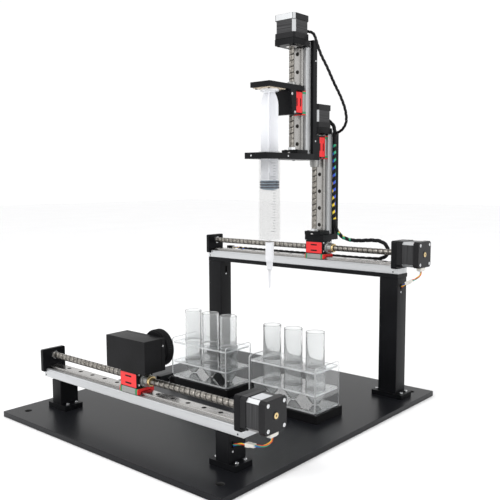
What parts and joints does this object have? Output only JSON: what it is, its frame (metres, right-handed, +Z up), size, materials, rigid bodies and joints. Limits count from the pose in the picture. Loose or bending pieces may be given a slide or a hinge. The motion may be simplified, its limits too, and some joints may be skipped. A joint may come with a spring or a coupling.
{
  "type": "gantry dosing robot",
  "caption": "Bench Cartesian dosing robot: ball-screw gantry carrying a motor-driven syringe, a camera on a front slide, and acrylic racks of conical tubes on a black base plate.",
  "frame": {"origin": "centre of the base plate's underside", "axes": "+Z up, +X along both long stages towards their motors, -Y towards the camera stage at the front"},
  "size_m": [0.4899, 0.536, 0.6423],
  "materials": {
    "black_aluminium": "black anodised, fine satin",
    "silver_aluminium": "clear anodised extrusion, satin",
    "steel": "ground bearing steel",
    "motor_case": "black painted motor bells, dark laminations",
    "black_plastic": "matte moulded plastic",
    "clear_acrylic": "clear polished acrylic sheet",
    "frosted_plastic": "translucent polypropylene",
    "white_plastic": "white moulded plastic",
    "rubber": "blue-grey soft rubber",
    "cable_sleeve": "black spiral wrap over coloured wires"
  },
  "bodies": {
    "base": {"base_plate": "black_aluminium", "front_post_left": "black_aluminium", "rear_post_left": "black_aluminium", "front_post_right": "black_aluminium", "rear_post_right": "black_aluminium", "gantry_beam": "black_aluminium", "gantry_profile": "silver_aluminium", "gantry_rail": "steel", "gantry_end_plate": "black_aluminium", "gantry_motor_plate": "black_aluminium", "gantry_motor": "motor_case", "front_profile": "silver_aluminium", "front_rail": "steel", "front_end_plate": "black_aluminium", "front_motor_plate": "black_aluminium", "front_motor": "motor_case", "rack_base_left": "black_plastic", "rack_left": "clear_acrylic", "rack_base_right": "black_plastic", "rack_right": "clear_acrylic", "carriage_cable": "cable_sleeve"},
    "gantry_screw": {"gantry_screw": "steel"},
    "gantry_carriage": {"gantry_block": "steel", "gantry_carriage": "black_aluminium", "tower_bracket": "black_aluminium", "tower_profile": "silver_aluminium", "tower_rail": "steel", "tower_end_plate": "black_aluminium", "tower_motor_plate": "black_aluminium", "tower_motor": "motor_case"},
    "tower_screw": {"tower_screw": "steel"},
    "tool": {"tower_block": "steel", "tower_carriage": "black_aluminium", "tool_plate": "black_aluminium", "syringe_arm": "black_aluminium", "syringe_barrel": "frosted_plastic", "syringe_tip": "white_plastic", "doser_profile": "silver_aluminium", "doser_rail": "steel", "doser_end_plate": "black_aluminium", "doser_motor_plate": "black_aluminium", "doser_motor": "motor_case", "tool_cable": "cable_sleeve"},
    "doser_screw": {"doser_screw": "steel"},
    "plunger": {"doser_block": "steel", "doser_carriage": "black_aluminium", "plunger_bracket": "black_aluminium", "plunger_rod": "frosted_plastic", "plunger_stopper": "rubber"},
    "front_screw": {"front_screw": "steel"},
    "camera": {"front_block": "steel", "front_carriage": "black_aluminium", "camera_body": "black_plastic", "camera_lens": "black_plastic"},
    "tube_left_1": {"tube_left_1": "frosted_plastic"},
    "tube_left_2": {"tube_left_2": "frosted_plastic"},
    "tube_left_3": {"tube_left_3": "frosted_plastic"},
    "tube_right_1": {"tube_right_1": "frosted_plastic"},
    "tube_right_2": {"tube_right_2": "frosted_plastic"},
    "tube_right_3": {"tube_right_3": "frosted_plastic"}
  },
  "joints": [
    {"name": "x_axis", "type": "slide", "parent": "base", "child": "gantry_carriage", "axis": [1, 0, 0], "range_m": [-0.23, 0.118], "deforming": ["carriage_cable"]},
    {"name": "z_axis", "type": "slide", "parent": "gantry_carriage", "child": "tool", "axis": [0, 0, 1], "range_m": [-0.048, 0.002], "deforming": ["tool_cable"]},
    {"name": "plunger_axis", "type": "slide", "parent": "tool", "child": "plunger", "axis": [0, 0, 1], "range_m": [-0.05, 0.038]},
    {"name": "camera_axis", "type": "slide", "parent": "base", "child": "camera", "axis": [1, 0, 0], "range_m": [-0.18, 0.16]},
    {"name": "gantry_screw_turn", "type": "hinge", "parent": "base", "child": "gantry_screw", "pos_m": [0, 0.2032, 0.2504], "axis": [1, 0, 0], "range_deg": [-8284, 4252]},
    {"name": "tower_screw_turn", "type": "hinge", "parent": "gantry_carriage", "child": "tower_screw", "pos_m": [0.039, 0.1886, 0.36], "axis": [0, 0, 1], "range_deg": [-1732, 76]},
    {"name": "doser_screw_turn", "type": "hinge", "parent": "tool", "child": "doser_screw", "pos_m": [0.039, 0.1216, 0.5], "axis": [0, 0, 1], "range_deg": [-1804, 1372]},
    {"name": "front_screw_turn", "type": "hinge", "parent": "base", "child": "front_screw", "pos_m": [0, -0.1891, 0.0889], "axis": [1, 0, 0], "range_deg": [-6484, 5764]},
    {"name": "tube_left_1_lift", "type": "slide", "parent": "base", "child": "tube_left_1", "axis": [0, 0, 1], "range_m": [0, 0.12]},
    {"name": "tube_left_2_lift", "type": "slide", "parent": "base", "child": "tube_left_2", "axis": [0, 0, 1], "range_m": [0, 0.12]},
    {"name": "tube_left_3_lift", "type": "slide", "parent": "base", "child": "tube_left_3", "axis": [0, 0, 1], "range_m": [0, 0.12]},
    {"name": "tube_right_1_lift", "type": "slide", "parent": "base", "child": "tube_right_1", "axis": [0, 0, 1], "range_m": [0, 0.12]},
    {"name": "tube_right_2_lift", "type": "slide", "parent": "base", "child": "tube_right_2", "axis": [0, 0, 1], "range_m": [0, 0.12]},
    {"name": "tube_right_3_lift", "type": "slide", "parent": "base", "child": "tube_right_3", "axis": [0, 0, 1], "range_m": [0, 0.12]}
  ],
  "couplings": [
    {"joint": "gantry_screw_turn", "follows": "x_axis", "rad_per_m": 628.32},
    {"joint": "tower_screw_turn", "follows": "z_axis", "rad_per_m": 628.32},
    {"joint": "doser_screw_turn", "follows": "plunger_axis", "rad_per_m": 628.32},
    {"joint": "front_screw_turn", "follows": "camera_axis", "rad_per_m": 628.32}
  ]
}
